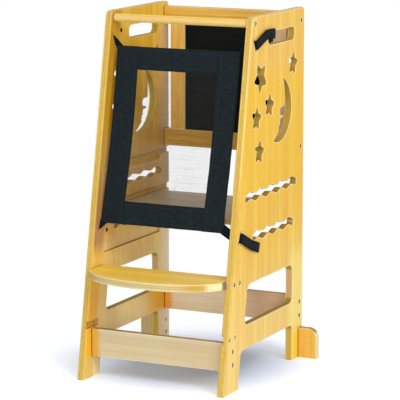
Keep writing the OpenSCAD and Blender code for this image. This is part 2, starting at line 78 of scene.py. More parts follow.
# sizes of the net and its straps, as in the part's source
NET_INSET = 0.024
NET_BOTTOM = 0.384
NET_TOP = 0.812
NET_LEFT_GAP = 0.011
NET_RIGHT_GAP = 0.018
NET_SLIP = 0.009
MESH_MARGIN = 0.046
STRAP_WIDTH = 0.025
STRAP_THICKNESS = 0.0018
STRAP_ANGLE = math.radians(25)
STRAP_INSET = 0.014
STRAP_SEAM = 0.020
TOP_SLOT_RISE = 0.019
BOTTOM_SLOT_DROP = 0.010
HANDLE_LEVEL = 0.840
HANDLE_FRONT = 0.222
BUTTON_DISTANCE = 0.040

# the shown cloth lies a few millimetres off its plain solid
CLOTH_SPREAD = 0.0025
CLOTH_BOW = 0.005
BORDER_WIDTH = 0.057
LEFT_BORDER_WIDTH = 0.060
HEM = 0.0085

# how far the border's bands and their thread lie out of the net's plane
UPRIGHT_BAND_DEPTH = 0.0017
LEVEL_BAND_DEPTH = 0.00058
THREAD_RISE = 0.00035


def front_at(z):
    """Distance from the back edge to the sloping front edge at a height."""
    return BOTTOM_DEPTH - LEAN * z


def slot_place(top):
    """Where a strap's slot is in the side panel, as (distance from the back edge, height)."""
    level = NET_TOP + TOP_SLOT_RISE if top else NET_BOTTOM - BOTTOM_SLOT_DROP
    return front_at(level) - NET_INSET, level


def seen(red, green, blue):
    """A colour given as it looks on a screen, 0 to 255, in the linear values of a shader."""
    def linear(value):
        value /= 255
        return value / 12.92 if value <= 0.04045 else ((value + 0.055) / 1.055) ** 2.4
    return (linear(red), linear(green), linear(blue), 1)


# tones of the boards' light and deep strips
LIGHT = seen(255, 219, 86)
DEEP = seen(238, 181, 36)
STEP_LIGHT = seen(255, 224, 100)
STEP_DEEP = seen(254, 202, 60)
FOOT_LIGHT = seen(236, 191, 90)
FOOT_DEEP = seen(219, 156, 58)
FRAME_LIGHT = seen(240, 204, 106)
FRAME_DEEP = seen(216, 164, 60)
MIDDLE_LIGHT = seen(216, 178, 82)
MIDDLE_DEEP = seen(190, 139, 42)
STILE_LIGHT = seen(250, 216, 126)
STILE_DEEP = seen(234, 184, 84)
RAIL_LIGHT = seen(225, 201, 136)
RAIL_DEEP = seen(222, 182, 108)
# paler, pinker tones of the right stile: painted reflected light in the corner where it stands in
# shade
SHADED_LIGHT = seen(255, 231, 192)
SHADED_DEEP = seen(250, 216, 168)
PALE_LIGHT = seen(208, 194, 160)
PALE_DEEP = seen(193, 176, 136)
# tones of the low back rail, paler than the other rails': painted light on a rail that lies in
# shade low at the back
TAN_LIGHT = seen(255, 238, 206)
TAN_DEEP = seen(250, 224, 184)
GREY_LIGHT = seen(192, 185, 160)
GREY_DEEP = seen(172, 161, 134)

# tones of their narrow faces and joints, and of painted light: a pale painted highlight on the
# arris, a painted shade on the step's curved edge and a honey painted reflection where boards meet
# the panels
BOARD_EDGE = seen(214, 160, 82)
CROSS_GRAIN = seen(190, 134, 62)
PANEL_EDGE = seen(184, 159, 82)
PANEL_TOP = seen(190, 180, 122)
HAND_RAIL_TOP = seen(248, 206, 84)
FOOT_EDGE = seen(255, 242, 184)
RAIL_EDGE = seen(148, 108, 42)
STEP_EDGE = seen(198, 185, 136)
# painted shade on the step's curved edge
MUSTARD = seen(196, 150, 34)
OLIVE = seen(136, 110, 42)
# honey of the painted reflection at a board's left end
HONEY = seen(212, 158, 22)
# pale painted highlight on the arris
ARRIS_HIGHLIGHT = seen(255, 244, 190)
JOINT = seen(92, 34, 10)


# finishes

class Value:
    """One socket of a material's nodes, so that sums on it read as plain arithmetic."""

    def __init__(self, finish, socket):
        self.finish = finish
        self.socket = socket

    def maths(self, operation, *inputs):
        inputs = dict(enumerate(inputs))
        if self.socket.type == "VECTOR":
            return self.finish.node("VectorMath", {"operation": operation}, inputs)
        return self.finish.node("Math", {"operation": operation}, inputs)

    def __add__(self, other):
        return self.maths("ADD", self, other)

    def __radd__(self, other):
        return self.maths("ADD", other, self)

    def __sub__(self, other):
        return self.maths("SUBTRACT", self, other)

    def __rsub__(self, other):
        return self.maths("SUBTRACT", other, self)

    def __mul__(self, other):
        return self.maths("MULTIPLY", self, other)

    def __rmul__(self, other):
        return self.maths("MULTIPLY", other, self)

    def __truediv__(self, other):
        return self.maths("DIVIDE", self, other)

    def __gt__(self, other):
        return self.maths("GREATER_THAN", self, other)

    def __lt__(self, other):
        return self.maths("LESS_THAN", self, other)

    def size(self):
        return self.maths("ABSOLUTE", self)

    def floor(self):
        return self.maths("FLOOR", self)

    def fraction(self):
        return self.maths("FRACT", self)

    def sine(self):
        return self.maths("SINE", self)

    def least(self, other):
        return self.maths("MINIMUM", self, other)

    def most(self, other):
        return self.maths("MAXIMUM", self, other)

    def over(self, low, high):
        """0 up to low, 1 from high on, and a smooth rise between."""
        return self.finish.node(
            "MapRange", {"interpolation_type": "SMOOTHSTEP"},
            {"Value": self, "From Min": low, "From Max": high})

    def under(self, low, high):
        """1 up to low, 0 from high on, and a smooth fall between."""
        return 1 - self.over(low, high)

    def between(self, rise, fall):
        """1 between a rise and a fall, each given as the pair of places where it starts and
        ends, and 0 outside them."""
        return self.over(*rise) * self.under(*fall)


class Nodes:
    """The nodes of a material or of the world."""

    def __init__(self, tree):
        self.tree = tree

    def link(self, socket, value):
        """Feeds a socket from a value, or sets it to a constant."""
        if isinstance(value, Value):
            self.tree.links.new(value.socket, socket)
        else:
            socket.default_value = value

    def node(self, kind, settings=None, inputs=None, output=0):
        """Adds a node of a kind, sets it up, feeds its sockets, and gives one of its outputs."""
        made = self.tree.nodes.new("ShaderNode" + kind)
        for key, value in (settings or {}).items():
            setattr(made, key, value)
        for key, value in (inputs or {}).items():
            self.link(made.inputs[key], value)
        return Value(self, made.outputs[output])

    def place(self):
        """Where a point of the piece is, in metres, as it stands at rest."""
        return self.node("TexCoord", output="Object")

    def axes(self, vector):
        split = self.node("SeparateXYZ", {}, {0: vector}).socket.node
        return [Value(self, out) for out in split.outputs]

    def vector(self, x, y, z):
        return self.node("CombineXYZ", {}, {0: x, 1: y, 2: z})

    def noise(self, where, scale=1.0, detail=2.0, roughness=0.5):
        return self.node("TexNoise", {}, {"Vector": where, "Scale": scale, "Detail": detail,
                                          "Roughness": roughness})

    def chance(self, where):
        """A random value, the same for all of one cell."""
        return self.node("TexWhiteNoise", {"noise_dimensions": "3D"}, {"Vector": where})

    def mix(self, factor, first, second):
        return self.node("Mix", {"data_type": "RGBA"}, {0: factor, 6: first, 7: second}, output=2)

    def tinted(self, colour, *tints):
        """A colour with tints laid over it one after another, each given as (share, tone)."""
        for share, tone in tints:
            colour = self.mix(share, colour, tone)
        return colour

    def bump(self, height, distance):
        return self.node("Bump", {}, {"Height": height, "Distance": distance})

    def rounded(self, radius, samples):
        """The lay of a surface whose edges are rounded off."""
        return self.node("Bevel", {"samples": samples}, {"Radius": radius})

    def turned_from(self, lay, facing):
        """How far a rounded lay turns away from where the plain surface faces."""
        return 1 - self.node("VectorMath", {"operation": "DOT_PRODUCT"}, {0: lay, 1: facing},
                             output=1)


class Finish(Nodes):
    """A material in the making, on a Principled shader."""

    def __init__(self, name):
        self.material = bpy.data.materials.new(name)
        self.material.use_nodes = True
        super().__init__(self.material.node_tree)
        self.shader = self.tree.nodes["Principled BSDF"]

    def surface(self, **sockets):
        """Sets the shader's sockets by name, with _ for a space."""
        for key, value in sockets.items():
            self.link(self.shader.inputs[key.replace("_", " ")], value)
        return self.material


def grain(finish, along, across, through):
    """Streaks of fibre that run along one axis: fine ones, broad ones, veins and short flecks."""
    def streaks(along_scale, across_scale, **look):
        place = finish.vector(along * along_scale, across * across_scale, through * across_scale)
        return finish.noise(place, **look)

    return (streaks(14, 900, detail=3), streaks(3, 130, detail=2),
            streaks(6, 400, detail=3, roughness=0.6), streaks(42, 460, detail=2))


def screw_places():
    """Where a side panel's screws and its straps' button holes are, as (distance from the back
    edge, height)."""
    back = BACK_RAIL_INSET + BOARD / 2
    front = LOW_FRONT_REACH - BOARD / 2
    hand_rail = HEIGHT - HAND_RAIL_DROP
    step = STEP_LEVEL - BOARD / 2
    low_back = LOW_BACK_LEVEL - LOW_RAIL_HEIGHT / 2
    low_front = LOW_FRONT_LEVEL - LOW_RAIL_HEIGHT / 2 - FRONT_SCREW_DROP
    places = [(front_at(hand_rail) - HAND_RAIL_SETBACK, hand_rail)]
    places += [(back, level - BOARD_RAIL_HEIGHT / 2)
               for level in (TOP_RAIL_LEVEL, MIDDLE_RAIL_LEVEL)]
    places += [(front_at(step) - margin, step) for margin in STEP_SCREW_MARGINS]
    for way in (-1, 1):
        places.append((back, low_back + way * BACK_SCREW_SPREAD))
        places.append((front, low_front + way * FRONT_SCREW_SPREAD))
        reach, level = slot_place(way > 0)
        places.append((reach - BUTTON_DISTANCE * math.cos(STRAP_ANGLE),
                       level + way * BUTTON_DISTANCE * math.sin(STRAP_ANGLE)))
    return places


def near_screws(finish, y, z):
    """1 on the walls of a side panel's screw recesses and button holes, 0 elsewhere."""
    flat = finish.vector(0.0, y, z)
    nearest = None
    for reach, level in screw_places():
        far = finish.node("VectorMath", {"operation": "DISTANCE"},
                          {0: flat, 1: (0.0, BACK - reach, level)}, output=1)
        nearest = far if nearest is None else nearest.least(far)
    return nearest.under(RECESS_RADIUS, RECESS_RADIUS + 0.0002)


def inside_panel(x, z, reach, from_front):
    """1 on what is cut into a side panel, such as the walls of its openings and the floors of
    its grooves, and 0 on its faces and its outer edges."""
    rim = 0.003
    skin = (0.0008, 0.0014)
    inside = (x.size() - INNER).over(*skin) * (HALF_WIDTH - x.size()).over(*skin)
    for distance in (from_front, reach, HEIGHT - z):
        inside = inside * distance.over(rim, 2 * rim)
    return inside


def inner_face_tones(finish, colour, z, reach, from_front, inner):
    """Zones of a side panel's inner face, most of them painted light and shade: paler low down as
    painted light reflected from the floor, a painted brown shade behind the net and along the front
    edge beside it, pale low down along the rear edge and greyer higher up, and strong painted honey
    reflections where other boards meet it low down."""
    front = from_front.under(0.03, 0.06)
    pale = z.under(0.06, 0.42) * (1 - front * 0.7)
    behind_net = z.between((0.36, 0.44), (0.6, 0.8)) * (1 - front)
    beside_net = z.over(0.29, 0.34) * from_front.under(0.035, 0.07)
    beside_net_tone = finish.mix(z.over(0.4, 0.62), seen(160, 106, 74), seen(184, 130, 6))
    rear_strip = reach.under(0.0, 0.08) * z.under(0.82, 0.86)
    rear_tone = finish.mix(z.over(0.25, 0.45), seen(255, 238, 202), seen(184, 156, 124))
    beside_rail = z.between((0.045, 0.06), (0.12, 0.3)) * front
    under_step = z.between((0.12, 0.16), (0.26, 0.28)) * front
    beside_back_rail = z.between((0.085, 0.1), (0.165, 0.2)) * reach.under(0.07, 0.17)
    return finish.tinted(
        colour,
        # painted light reflected from the floor, paler low down
        (inner * pale * 0.68, seen(255, 231, 172)),
        # painted shade behind the net
        (inner * behind_net * (0.4 + z.under(0.52, 0.6) * 0.2), seen(160, 118, 64)),
        # painted shade along the front edge beside the net
        (inner * beside_net * 0.75, beside_net_tone),
        (inner * rear_strip * 0.75, rear_tone),
        # painted honey reflections from the boards that meet the panel low down
        (inner * beside_rail * 0.75, seen(252, 180, 6)),
        (inner * under_step * 0.4, seen(240, 164, 24)),
        (inner * beside_back_rail * 0.85, seen(255, 182, 8)))


def outer_face_tones(finish, colour, z, reach, outer):
    """Zones of a side panel's outer face: paler low down as painted light reflected from the floor,
    paler on the rear leg, deeper along the rear and at middle height, a strong yellow beside the
    foot as painted reflected light, and a little greyer at the top."""
    deep_rear = reach.under(0.03, 0.12) * z.over(0.3, 0.45)
    middle = z.between((0.42, 0.52), (0.72, 0.82))
    rear_leg = z.under(0.24, 0.32) * reach.under(0.07, 0.11)
    beside_foot = z.under(0.062, 0.094) * reach.under(0.05, 0.085)
    return finish.tinted(
        colour,
        # painted light reflected from the floor, paler low down
        (outer * z.under(0.06, 0.42) * 0.3, seen(255, 231, 172)),
        (outer * deep_rear * 0.5, seen(238, 172, 6)),
        (outer * middle * 0.38, seen(240, 186, 10)),
        (outer * z.over(0.72, 0.79) * 0.08, seen(214, 206, 186)),
        (outer * rear_leg * 0.5, seen(255, 230, 128)),
        # painted light reflected beside the foot
        (outer * beside_foot * 0.7, seen(255, 214, 20)))


def cut_tones(finish, colour, z, from_front, normals, face, inside):
    """Tones of what is cut into a side panel: the walls and sills of its openings, the step's lower
    housing and the platform's grooves. The upward-facing sills are darkened as painted shade, and
    the upper groove's sill, the lower grooves' floors and the upper groove's front end are made
    paler as painted light against the shade inside them."""
    upright = normals["y"].size().over(0.9, 0.99) * z.under(0.4, 0.44)
    upright_tone = finish.mix(z.over(0.11, 0.13), seen(212, 168, 64), seen(206, 164, 118))
    turned_up = inside * normals["z"].over(0.3, 0.7)
    low_seats = z.between((0.24, 0.26), (0.34, 0.345))
    sill_tone = finish.mix(z.over(0.3, 0.34), seen(112, 82, 20), seen(180, 120, 16))
    top_seat = z.between((0.475, 0.48), (0.53, 0.54))
    groove_end = from_front.under(0.045, 0.06) * z.between((0.45, 0.46), (0.55, 0.56))
    floor = inside * face
    return finish.tinted(
        colour,
        (inside * (1 - face) * 0.7, finish.mix(upright, seen(168, 130, 26), upright_tone)),
        # painted shade: upward-facing sills darkened, red-brown on the lower grooves' sills
        (turned_up * z.under(0.475, 0.48) * (0.5 + low_seats * 0.35),
         finish.mix(low_seats, sill_tone, seen(196, 96, 44))),
        # painted light on the upper groove's sill
        (turned_up * top_seat * 0.8, seen(255, 236, 186)),
        (floor * z.under(0.2, 0.22) * 0.7, seen(206, 146, 44)),
        # painted light on the lower grooves' floors
        (floor * low_seats * 0.3, seen(255, 232, 186)),
        # painted light at the upper groove's front end, against the shade inside it
        (inside * groove_end * 0.75, seen(252, 206, 118)))


def panel_tones(finish, axes, normals, colour):
    """Colours of a side panel, zone by zone, many of them painted light and shade. Gives the
    colour, what is inside a cut, the arris's tone (a pale painted highlight, darker along the front
    edge low down) and how strongly it shows."""
    x, y, z = [axes[name] for name in "xyz"]
    reach = BACK - y
    from_front = front_at(z) - reach
    face = normals["x"].size().over(0.5, 0.8)
    outside = (x.size() - INNER - PANEL / 2).over(0, 0.001)
    inner = (1 - outside) * face
    colour = inner_face_tones(finish, colour, z, reach, from_front, inner)
    colour = outer_face_tones(finish, colour, z, reach, outside * face)
    inside = inside_panel(x, z, reach, from_front)
    colour = cut_tones(finish, colour, z, from_front, normals, face, inside)
    # the arris is painted pale as a highlight, but darker along the front edge low down
    arris_tone = finish.mix(from_front.under(0.004, 0.008) * z.under(0.42, 0.58),
                        ARRIS_HIGHLIGHT, seen(176, 138, 56))
    # the painted highlight shows most on the outer faces and on the right panel
    shown = outside.most((x > 0) * (1 - inner))
    return colour, inside, arris_tone, 0.2 + shown * 0.6


def step_edge_painted_shade(normals):
    """Where the step's curved edge is painted a deeper mustard, as painted shade placed by the way
    the edge faces: at its left end and right of the middle.
    """
    turn = normals["x"]
    left_end = turn.under(-0.62, -0.48)
    right_band = turn.between((0.2, 0.48), (0.56, 0.72))
    return (left_end + right_band) * normals["z"].size().under(0.3, 0.6)


def joint_tints(x, meets, honey, honey_tone, right_end_shade, joint):
    """How a board's colour changes to where it meets the side panels: a honey painted reflection
    towards the left one, a painted shade over its right half growing towards the right one, and
    dark in the joint."""
    from_panel = (x.size() - meets).size()
    return (((x + meets).under(0.014, 0.03) * honey, honey_tone),
            (x.over(0.0, 0.1) * right_end_shade, seen(184, 136, 90)),
            (from_panel.under(0.0015, 0.003) * joint, JOINT))


def strips(finish, along, across, depth, through, light, deep, seams):
    """Strips glued side by side in plies, at a depth counted in plies: each has its own tone,
    streaks of fibre, seams and knots. Gives the colour, the relief and the fine streaks."""
    strip, knot_spacing = 0.021, 0.26
    layer = depth.floor()
    place = across / strip + layer * 0.37
    column = place.floor()
    tone = finish.chance(finish.vector(column, layer, 3.1))
    warmth = finish.chance(finish.vector(column, layer, 7.7))
    fine, broad, vein, fleck = grain(finish, along, across, through)
    seam = (place.fraction() - 0.5).size().over(0.47, 0.497)
    knot_place = along / knot_spacing + tone * 9.7
    knot = (knot_place.fraction() - 0.5).size().over(0.487, 0.497)
    colour = finish.tinted(
        finish.mix(tone * 0.75 + broad.over(0.3, 0.75) * 0.35, light, deep),
        (warmth * seams * 0.8, seen(238, 168, 44)),
        (fine.over(0.4, 0.76) * seams * 1.2, seen(192, 142, 46)),
        (vein.over(0.52, 0.72) * seams, seen(188, 130, 40)),
        (vein.under(0.3, 0.46) * seams * 0.7, seen(255, 236, 140)),
        (fleck.over(0.66, 0.76) * seams * 0.9, seen(172, 110, 34)),
        (seam * seams + knot * 0.07, seen(176, 118, 30)))
    return colour, fine * 0.5 - seam * 0.6 - knot * 0.5, fine


def bamboo(name, roles, start, light, deep, mirrored=False, meets=INNER, honey=0.3,
           honey_tone=HONEY, right_end_shade=0.0, panel=False, curved=False, edge_tone=BOARD_EDGE,
           edge_share=0.55, end_tone=CROSS_GRAIN, end_share=0.35, seams=0.38):
    """Three plies of bamboo strips, glued side by side and varnished. roles says which axis runs
    along the strips, across them and through the board, and start is where the board's
    thickness begins. Where mirrored is true, the thickness is counted from the tower's middle.
    meets is how far from the tower's middle the board's end meets a side panel in a dark joint.
    honey and honey_tone give the share and colour of a painted honey reflection at the left end,
    and the share after them that of a painted shade over the right half, growing towards the right
    end.
    panel is true for a side panel itself, and curved for the step. The edge's and the end's
    tones are those of the board's narrow faces, and seams is how clearly its grain shows."""
    ply = BOARD / 3
    finish = Finish(name)
    where = finish.place()
    axes = dict(zip("xyz", finish.axes(where)))
    along, across, through = [axes[role] for role in roles]
    if mirrored:
        through = through.size()
    depth = (through - start) / ply
    colour, relief, fine = strips(finish, along, across, depth, through, light, deep, seams)

    # how far the surface turns to the board's end or edge; the middle ply runs crosswise
    facing = finish.node("NewGeometry", output="Normal")
    normals = dict(zip("xyz", finish.axes(facing)))
    end = normals[roles[0]].size().over(0.52, 0.68)
    edge = normals[roles[1]].size().over(0.55, 0.75)
    core = (depth.floor() - 1).size() < 0.5
    crossed = core * edge + (1 - core) * end
    pores = finish.noise(where, scale=900, detail=1).over(0.5, 0.68)
    glue = (depth.fraction() - 0.5).size().over(0.4, 0.49) * edge

    colour = finish.tinted(colour, (edge * edge_share, edge_tone),
                           (glue * 0.8, seen(122, 92, 30)), (end * end_share, end_tone))
    # painted shade in bands on the step's curved edge
    if curved:
        colour = finish.mix(step_edge_painted_shade(normals) * 0.8, colour, MUSTARD)
    colour = finish.tinted(colour, (crossed * 0.2, CROSS_GRAIN),
                           (crossed * pores * 0.35, seen(150, 100, 44)))

    # the arris is painted pale: a painted highlight along the rounded edges
    arris = finish.turned_from(finish.rounded(0.0045, 8), facing).over(0.012, 0.1)
    arris_tone, shown, inside = ARRIS_HIGHLIGHT, 0.6, 0.0
    if panel:
        colour, inside, arris_tone, shown = panel_tones(finish, axes, normals, colour)
        arris = arris * (1 - inside)
    colour = finish.mix(arris * shown, colour, arris_tone)
    if panel:
        # the walls of the screw recesses and button holes are painted dark: painted shade
        colour = finish.mix(near_screws(finish, axes["y"], axes["z"]), colour, seen(22, 13, 6))
    # dark joints, a painted honey reflection at the left end and painted shade towards the right
    # end
    if meets:
        colour = finish.tinted(colour, *joint_tints(axes["x"], meets, honey, honey_tone, right_end_shade,
                                                    0.75 if curved else 0.85))
    relief = relief - crossed * pores * 0.6
    lay = finish.node("Bump", {}, {"Height": relief, "Distance": 0.00012,
                                   "Normal": finish.rounded(0.002, 6)})
    roughness = 0.4 + fine * 0.12 + crossed * 0.18 + inside * 0.3
    return finish.surface(Base_Color=colour, Roughness=roughness, Normal=lay,
                          Specular_IOR_Level=0.24, Coat_Weight=0.03, Coat_Roughness=0.2)


def chalkboard_paint():
    """Matt black paint with the faint cloud of wiped chalk."""
    finish = Finish("chalkboard_paint")
    where = finish.place()
    x, y, z = finish.axes(where)
    cloud = finish.noise(finish.vector(x * 5, y * 5, z * 9), detail=5, roughness=0.6)
    wiped = finish.noise(finish.vector(x * 18 + z * 9, y, z * 160), detail=3)
    grit = finish.noise(where, scale=1500, detail=1)
    colour = finish.mix(cloud.over(0.42, 0.8) * wiped.over(0.4, 0.8),
                        seen(10, 14, 13), seen(20, 24, 23))
    return finish.surface(Base_Color=colour, Roughness=0.7 + grit * 0.2,
                          Specular_IOR_Level=0.15, Normal=finish.bump(grit, 0.0001))


def beech():
    """Turned beech of the pins: pale with short dark flecks."""
    finish = Finish("beech_pins")
    x, y, z = finish.axes(finish.place())
    fleck = finish.noise(finish.vector(x * 1400, y * 1400, z * 160), detail=2).over(0.6, 0.72)
    colour = finish.mix(fleck * 0.6, seen(226, 190, 140), seen(168, 120, 74))
    return finish.surface(Base_Color=colour, Roughness=0.6, Normal=finish.bump(fleck, -0.0001))


def dark_steel():
    """Steel of the screws, painted nearly white so that the heads show pale in their shaded
    recesses, with a painted highlight on the rounded edges.
    """
    finish = Finish("dark_steel")
    mottle = finish.noise(finish.place(), scale=700, detail=3)
    lay = finish.rounded(0.0006, 4)
    turned = finish.turned_from(lay, finish.node("NewGeometry", output="Normal"))
    # painted light: the heads are nearly white so that they show pale in their shaded recesses
    colour = finish.mix(mottle.over(0.35, 0.7), seen(250, 242, 222), seen(255, 251, 238))
    # painted highlight on the rounded edges
    colour = finish.mix(turned.over(0.02, 0.25) * 0.8, colour, seen(255, 250, 236))
    return finish.surface(Base_Color=colour, Metallic=0.2, Roughness=0.34 + mottle * 0.2,
                          Normal=lay)


def weave_place(finish):
    """Place on a cloth: across it and along it, in metres, laid down when it was made."""
    return finish.axes(finish.node("Attribute", {"attribute_name": "weave"}, output="Vector"))[:2]


def canvas():
    """Plain-woven dark cloth of the net's border."""
    finish = Finish("border_canvas")
    across, along = weave_place(finish)
    pitch = 0.0011
    warp = (across * (math.tau / pitch)).sine()
    weft = (along * (math.tau / pitch)).sine()
    threads = (warp * weft) * 0.5 + 0.5
    slubs = (finish.noise(finish.vector(across * 500, along * 40, 0.0), detail=2)
             + finish.noise(finish.vector(across * 40, along * 500, 4.0), detail=2))
    cloud = finish.noise(finish.vector(across * 14, along * 14, 0.0), detail=3)
    lint = finish.noise(finish.place(), scale=420, detail=1).over(0.66, 0.78)
    colour = finish.tinted(
        finish.mix(threads * 0.5 + cloud * 0.3, seen(14, 21, 23), seen(31, 39, 41)),
        (slubs.over(0.9, 1.3) * 0.35, seen(48, 56, 59)),
        (lint * 0.18, seen(98, 106, 112)))
    return finish.surface(Base_Color=colour, Roughness=0.86,
                          Normal=finish.bump(threads + slubs * 0.4, 0.0003),
                          Sheen_Weight=0.04, Sheen_Roughness=0.5,
                          Sheen_Tint=seen(150, 165, 175), Specular_IOR_Level=0.08)


def netting():
    """Fine see-through net: thin dark threads with a hole between each pair, a little thicker
    in some rows and columns."""
    finish = Finish("fine_netting")
    across, along = weave_place(finish)
    pitch = 0.0017
    row = finish.noise(finish.vector(across * 9, along * 260, 0.0), detail=1)
    column = finish.noise(finish.vector(across * 260, along * 9, 5.0), detail=1)
    half_hole = 0.462 - (row.over(0.45, 0.75) + column.over(0.5, 0.75) * 0.6) * 0.03
    off_warp = ((across / pitch).fraction() - 0.5).size()
    off_weft = ((along / pitch).fraction() - 0.5).size()
    thread = 1 - (1 - (off_warp > half_hole)) * (1 - (off_weft > half_hole))
    shade = finish.noise(finish.vector(across * 300, along * 300, 0.0), detail=2)
    colour = finish.mix(shade, seen(28, 32, 32), seen(64, 65, 62))
    finish.material.blend_method = "HASHED"
    return finish.surface(Base_Color=colour, Roughness=0.7, Alpha=thread,
                          Specular_IOR_Level=0.2)


def strap_webbing():
    """Dark webbing with a herringbone rib and bound edges."""
    finish = Finish("strap_webbing")
    across, along = weave_place(finish)
    rib, herringbone = 0.0022, 0.0062
    slant = ((across / herringbone).fraction() - 0.5).size() * herringbone
    ribs = ((slant + along) * (math.tau / rib)).sine() * 0.5 + 0.5
    selvedge = across.size().over(STRAP_WIDTH * 0.33, STRAP_WIDTH * 0.4)
    fuzz = finish.noise(finish.place(), scale=900, detail=2)
    colour = finish.mix(ribs * 0.5 + fuzz * 0.4, seen(8, 13, 17), seen(28, 37, 43))
    colour = finish.mix(selvedge * 0.85, colour, seen(2, 3, 4))
    return finish.surface(Base_Color=colour, Roughness=0.62 + fuzz * 0.15,
                          Normal=finish.bump(ribs + fuzz * 0.3, 0.0005),
                          Sheen_Weight=0.02, Sheen_Roughness=0.4, Specular_IOR_Level=0.04)


def thread():
    """Twisted sewing thread."""
    finish = Finish("sewing_thread")
    x, y, z = finish.axes(finish.place())
    twist_pitch = 0.0009
    twist = ((x + z) * (math.tau / twist_pitch)).sine() * 0.5 + 0.5
    colour = finish.mix(twist, seen(24, 31, 34), seen(44, 53, 57))
    return finish.surface(Base_Color=colour, Roughness=0.55, Normal=finish.bump(twist, 0.0002))


RAIL_START = BACK - BACK_RAIL_INSET - BOARD
FOOT_START = BACK - FOOT_INSET - BOARD
FRONT_RAIL_START = BACK - LOW_FRONT_REACH

panel_look = {"mirrored": True, "meets": None, "panel": True, "edge_tone": PANEL_EDGE,
              "end_tone": PANEL_TOP, "end_share": 0.7, "seams": 0.44}
finishes = {
    "side_panel_left": bamboo("bamboo_panel_left", "zyx", INNER, LIGHT, DEEP, **panel_look),
    "side_panel_right": bamboo("bamboo_panel_right", "zyx", INNER, LIGHT, DEEP, **panel_look),
    "hand_rail": bamboo("bamboo_hand_rail", "xzy", RAIL_START, RAIL_LIGHT, RAIL_DEEP,
                        honey=0.0, edge_tone=HAND_RAIL_TOP, edge_share=0.8, seams=0.2),
    "top_back_rail": bamboo("bamboo_rail", "xzy", RAIL_START, FRAME_LIGHT, FRAME_DEEP,
                            edge_tone=RAIL_EDGE),
    # paler tones stand in for light on this rail: painted light
    "bottom_back_rail": bamboo("pale_bamboo_low_rail", "xzy", RAIL_START, TAN_LIGHT, TAN_DEEP,
                               honey=0.9, honey_tone=seen(255, 174, 20), right_end_shade=0.65,
                               edge_tone=RAIL_EDGE, edge_share=0.9, seams=0.16),
    "middle_back_rail": bamboo("bamboo_middle_rail", "xzy", RAIL_START, MIDDLE_LIGHT,
                               MIDDLE_DEEP, edge_tone=RAIL_EDGE),
    "board_stile_left": bamboo("bamboo_stile_left", "zxy", RAIL_START, STILE_LIGHT, STILE_DEEP,
                               meets=None),
    # the right stile's paler, pinker tones are painted reflected light
    "board_stile_right": bamboo("bamboo_stile_right", "zxy", RAIL_START, SHADED_LIGHT,
                                SHADED_DEEP, meets=None),
    # the left foot takes paler, greyer tones than the right foot: painted shade on the same bamboo
    "anti_tip_foot_left": bamboo("pale_bamboo_foot", "zxy", FOOT_START, PALE_LIGHT, PALE_DEEP,
                                 meets=HALF_WIDTH, honey=0.0, edge_tone=FOOT_EDGE,
                                 end_tone=OLIVE),
    "anti_tip_foot_right": bamboo("bamboo_foot", "zxy", FOOT_START, FOOT_LIGHT, FOOT_DEEP,
                                  meets=HALF_WIDTH, honey=0.0, edge_tone=FOOT_EDGE,
                                  edge_share=0.85, end_tone=OLIVE, end_share=0.8),
    "step_board": bamboo("bamboo_step", "xyz", STEP_LEVEL - BOARD, STEP_LIGHT, STEP_DEEP,
                         honey=0.0, curved=True, edge_tone=STEP_EDGE, edge_share=0.85,
                         end_tone=FOOT_EDGE, end_share=0.7, seams=0.26),
    "bottom_front_rail": bamboo("pale_bamboo_rail", "xzy", FRONT_RAIL_START, PALE_LIGHT,
                                PALE_DEEP, honey=0.85, right_end_shade=0.12, edge_tone=RAIL_EDGE,
                                edge_share=0.8, seams=0.16),
    "standing_platform": bamboo("pale_bamboo_platform", "xyz", PLATFORM_UNDERSIDE, GREY_LIGHT,
                                GREY_DEEP, seams=0.24),
    "chalkboard": chalkboard_paint(),
    "board_frame_pins": beech(),
}
steel = dark_steel()
for group in ("hand_rail", "board_frame", "bottom_back", "bottom_front", "step", "foot"):
    finishes[group + "_screws"] = steel
for node, material in finishes.items():
    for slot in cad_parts[node].material_slots:
        slot.material = material

# the boards' long edges are slightly rounded
ROUNDED = ("top_back_rail", "middle_back_rail", "bottom_back_rail", "bottom_front_rail",
           "step_board", "standing_platform", "board_stile_left", "board_stile_right",
           "anti_tip_foot_left", "anti_tip_foot_right")
for node in ROUNDED:
    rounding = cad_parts[node].modifiers.new("rounded_edges", "BEVEL")
    rounding.width = EDGE_ROUNDING
    rounding.segments = 3
    rounding.limit_method = "ANGLE"
    rounding.angle_limit = math.radians(40)
    rounding.harden_normals = True


# the net: directions up its slope and out of its plane, and its edges up the slope and across

SLOPE = Vector((0, math.sin(LEAN_ANGLE), math.cos(LEAN_ANGLE)))
OUTWARD = Vector((0, -math.cos(LEAN_ANGLE), math.sin(LEAN_ANGLE)))
NET_FOOT = Vector((0, BACK + NET_INSET - BOTTOM_DEPTH, 0))
LOW = NET_BOTTOM / math.cos(LEAN_ANGLE) - CLOTH_SPREAD
HIGH = NET_TOP / math.cos(LEAN_ANGLE) + CLOTH_SPREAD
LEFT = NET_LEFT_GAP - INNER
RIGHT = INNER - NET_RIGHT_GAP


def slip(x, level):
    """How far a point of the net has moved sideways at a distance up the slope: the lower edge
    has slipped to the left, and the middle bows to the right, most along the left edge."""
    across = (x - LEFT) / (RIGHT - LEFT)
    down = min(max((HIGH - level) / (HIGH - LOW), 0), 1)
    return CLOTH_BOW * math.sin(math.pi * down) * (1 - 0.6 * across) - NET_SLIP * down


